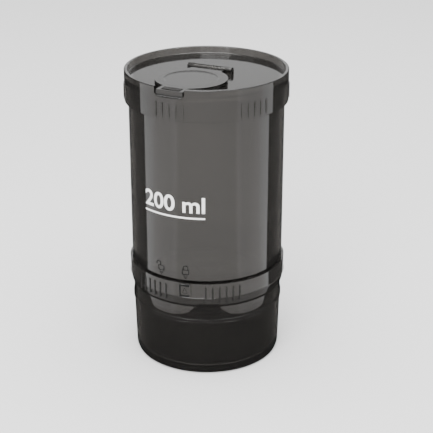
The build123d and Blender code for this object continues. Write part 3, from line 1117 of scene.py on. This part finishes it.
# Front card: tones at angles to either side of the camera, darkened to a share close to the foot
FRONT_CARD_RADIUS = 0.9
FRONT_CARD_HEIGHT = 0.4 * MM
FRONT_CARD_NEAR = 86 * MM
FRONT_CARD_FAR = 120 * MM
FRONT_CARD_NEAR_SHARE = 0.38
FRONT_CARD_TONES = [
    (0, (0.66, 0.635, 0.605, 1)),
    (39, (0.66, 0.635, 0.605, 1)),
    (44, (0.80, 0.78, 0.76, 1)),
    (50, (0.72, 0.70, 0.68, 1)),
    (75, (0.72, 0.70, 0.68, 1)),
    (85, (0.80, 0.80, 0.80, 1)),
]

# Low card: the height of its top at angles to either side of the camera
LOW_CARD_RADIUS = 43 * MM
LOW_CARD_FOOT = 60 * MM
LOW_CARD_STEPS = 72
LOW_CARD_TOPS = [
    (0, 38.0 * MM),
    (9, 38.0 * MM),
    (17, 32.8 * MM),
    (32, 30.9 * MM),
    (49, 30.9 * MM),
    (54, 32.4 * MM),
    (58, 41.0 * MM),
    (100, 41.0 * MM),
    (120, 37.0 * MM),
    (180, 37.0 * MM),
]

# Side cards: how far aside and how far forward each upright edge stands, and its grey
SIDE_CARD_TOP = 0.40
SIDE_CARD_EDGES = [
    (112.3 * MM, 5.4 * MM, 0.02),
    (73.1 * MM, -87.0 * MM, 0.02),
    (48.0 * MM, -170.0 * MM, 0.8),
]


def matt_finish(piece, tone, roughness):
    """Gives a piece of the studio a material without gloss; the node tree and shader come back."""
    settings = {"Base Color": tone, "Roughness": roughness, "Specular IOR Level": 0.0}
    made, shader = new_material(piece.name, settings)
    piece.data.materials.append(made)
    return made.node_tree, shader


def floor():
    deselect()
    bpy.ops.mesh.primitive_plane_add(size=FLOOR_SIZE, location=(0, 0, 0))
    ground = settle("studio_floor")
    matt_finish(ground, FLOOR_TONE, roughness=0.8)


def hide_but_reflect(card):
    """Black finish on a card that only reflections see, as a studio uses for glossy things."""
    tree, shader = matt_finish(card, CARD_BLACK, roughness=1.0)
    card.visible_camera = False
    card.visible_diffuse = False
    card.visible_transmission = False
    card.visible_shadow = False
    return tree, shader


def height_at(angle, table):
    """Height between the rows of a table of angles and heights."""
    for (first, low), (last, high) in zip(table, table[1:]):
        if angle <= last:
            return low + (high - low) * (angle - first) / (last - first)
    return table[-1][1]


def low_card():
    """Low round wall near the foot, on a black disc."""
    deselect()
    bpy.ops.mesh.primitive_cylinder_add(
        vertices=LOW_CARD_STEPS, radius=LOW_CARD_RADIUS, depth=1, end_fill_type="NOTHING"
    )
    card = settle("low_card")
    for vertex in card.data.vertices:
        heading = degrees(atan2(vertex.co.y, vertex.co.x)) + 90 - VIEW_AZIMUTH
        away = abs((heading + 180) % 360 - 180)
        vertex.co.z = CARD_BOTTOM if vertex.co.z < 0 else height_at(away, LOW_CARD_TOPS)
    join(card, [disc("low_card_foot", LOW_CARD_FOOT, CARD_BOTTOM, LOW_CARD_STEPS)])
    hide_but_reflect(card)


def front_card():
    """Wide disc over the floor: in reflections it is darker straight before and near the object."""
    card = disc("front_card", FRONT_CARD_RADIUS, FRONT_CARD_HEIGHT, steps=48)
    tree, shader = hide_but_reflect(card)
    nodes, links = tree.nodes, tree.links
    place = nodes.new("ShaderNodeTexCoord")
    facing = new_node(nodes, "ShaderNodeMapping", {"Rotation": (0, 0, radians(90 - VIEW_AZIMUTH))})
    around = nodes.new("ShaderNodeTexGradient")
    around.gradient_type = "RADIAL"
    ramp = nodes.new("ShaderNodeValToRGB")
    # Halfway along the ramp is the heading towards the camera
    stops = ramp.color_ramp.elements
    stops.remove(stops[1])
    stops[0].position = 0.5
    stops[0].color = FRONT_CARD_TONES[0][1]
    for heading, tone in FRONT_CARD_TONES[1:]:
        for side in (-1, 1):
            stops.new(0.5 + side * heading / 360).color = tone
    away = nodes.new("ShaderNodeVectorMath")
    away.operation = "LENGTH"
    fade_values = {
        "From Min": FRONT_CARD_NEAR,
        "From Max": FRONT_CARD_FAR,
        "To Min": FRONT_CARD_NEAR_SHARE,
    }
    fade = new_node(nodes, "ShaderNodeMapRange", fade_values)
    shade = nodes.new("ShaderNodeVectorMath")
    shade.operation = "SCALE"
    links.new(place.outputs["Object"], facing.inputs["Vector"])
    links.new(facing.outputs["Vector"], around.inputs["Vector"])
    links.new(around.outputs["Fac"], ramp.inputs["Fac"])
    links.new(place.outputs["Object"], away.inputs[0])
    links.new(away.outputs["Value"], fade.inputs["Value"])
    links.new(ramp.outputs["Color"], shade.inputs[0])
    links.new(fade.outputs["Result"], shade.inputs["Scale"])
    links.new(shade.outputs["Vector"], shader.inputs["Base Color"])


def side_card(side):
    """Tall board beside the object that darkens the edges of its round walls and fades out behind."""
    deselect()
    spans = len(SIDE_CARD_EDGES) - 1
    bpy.ops.mesh.primitive_grid_add(x_subdivisions=spans, y_subdivisions=1, size=1)
    card = settle("side_card_right" if side > 0 else "side_card_left")
    tones = card.data.attributes.new("tone", "FLOAT", "POINT")
    azimuth = radians(VIEW_AZIMUTH)
    right = Vector((cos(azimuth), sin(azimuth), 0))
    toward = Vector((sin(azimuth), -cos(azimuth), 0))
    for vertex, tone in zip(card.data.vertices, tones.data):
        edge = round((vertex.co.x + 0.5) * spans)
        across, near, tone.value = SIDE_CARD_EDGES[edge]
        level = CARD_BOTTOM if vertex.co.y < 0 else SIDE_CARD_TOP
        vertex.co = right * side * across + toward * near + Vector((0, 0, level))
    tree, shader = hide_but_reflect(card)
    shade = tree.nodes.new("ShaderNodeAttribute")
    shade.attribute_name = "tone"
    tree.links.new(shade.outputs["Fac"], shader.inputs["Base Color"])


def soft_light(name, place, size, power):
    """Rectangular lamp that is aimed at the object's middle."""
    deselect()
    bpy.ops.object.light_add(type="AREA", location=place)
    lamp = bpy.context.object
    lamp.name = name
    lamp.data.shape = "RECTANGLE"
    lamp.data.size, lamp.data.size_y = size
    lamp.data.energy = power
    aim = Vector((0, 0, TOTAL_HEIGHT / 2)) - Vector(place)
    lamp.rotation_euler = aim.to_track_quat("-Z", "Y").to_euler()


def studio():
    floor()
    low_card()
    front_card()
    for side in (-1, 1):
        side_card(side)
    world = bpy.data.worlds.new("studio_air")
    world.use_nodes = True
    set_inputs(world.node_tree.nodes["Background"], {"Color": (1, 1, 1, 1), "Strength": AIR_STRENGTH})
    bpy.context.scene.world = world
    soft_light("top_light", **TOP_LIGHT)
    soft_light("front_light", **FRONT_LIGHT)


def camera():
    """Camera at the photograph's angle; it aims a little beside the object's middle."""
    azimuth, elevation = radians(VIEW_AZIMUTH), radians(VIEW_ELEVATION)
    back = Vector(
        (sin(azimuth) * cos(elevation), -cos(azimuth) * cos(elevation), sin(elevation))
    )
    right = Vector((cos(azimuth), sin(azimuth), 0))
    rise = back.cross(right)
    middle = Vector((0, 0, TOTAL_HEIGHT / 2))
    place = middle + back * VIEW_DISTANCE
    aside = (FRAME_PIXELS / 2 - OBJECT_PIXEL[0]) / PIXELS_PER_METRE
    below = (FRAME_PIXELS / 2 - OBJECT_PIXEL[1]) / PIXELS_PER_METRE
    aim = middle + right * aside - rise * below
    deselect()
    bpy.ops.object.camera_add(location=place)
    eye = bpy.context.object
    eye.rotation_euler = (aim - place).to_track_quat("-Z", "Y").to_euler()
    eye.data.sensor_width = SENSOR
    eye.data.lens = PIXELS_PER_METRE * VIEW_DISTANCE / FRAME_PIXELS * SENSOR
    bpy.context.scene.camera = eye


studio()
camera()
